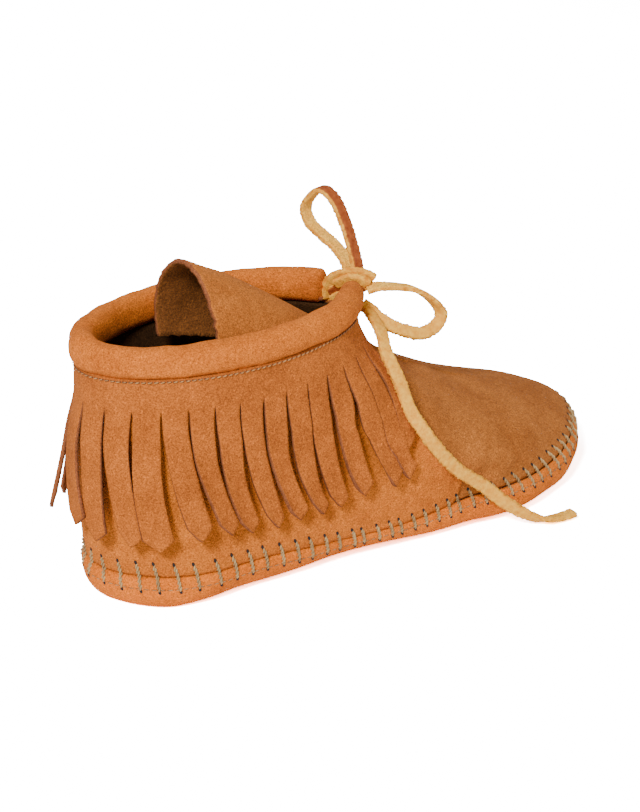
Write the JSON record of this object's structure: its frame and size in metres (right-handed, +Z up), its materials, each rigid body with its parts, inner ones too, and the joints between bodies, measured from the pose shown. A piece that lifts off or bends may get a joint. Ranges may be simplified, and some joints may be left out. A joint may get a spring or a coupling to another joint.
{
  "type": "moccasin boot",
  "caption": "Right ankle moccasin boot of soft suede: rolled collar, deep cut fringe round the ankle, bent-back tongue, wrapped-up sole and a tied leather thong.",
  "frame": {"origin": "on the floor, in the middle of the heel's flat resting spot, 32.5 mm in front of the back of the heel", "axes": "+X from heel to toe, +Z up, +Y towards the inner side of the foot"},
  "size_m": [0.257, 0.112, 0.1361],
  "materials": {
    "suede": "brushed suede, warm tan",
    "suede_inside": "worn suede, dark olive brown",
    "thong": "rough split on one side, smooth grain on the other"
  },
  "bodies": {
    "root": {"sole": "suede", "upper": "suede", "insole": "suede_inside", "tongue": "suede", "collar": "suede", "fringe": "suede", "lace_knot": "thong", "lace_loop_high": "thong", "lace_loop_side": "thong", "lace_end_long": "thong", "lace_end_short": "thong"}
  },
  "joints": []
}
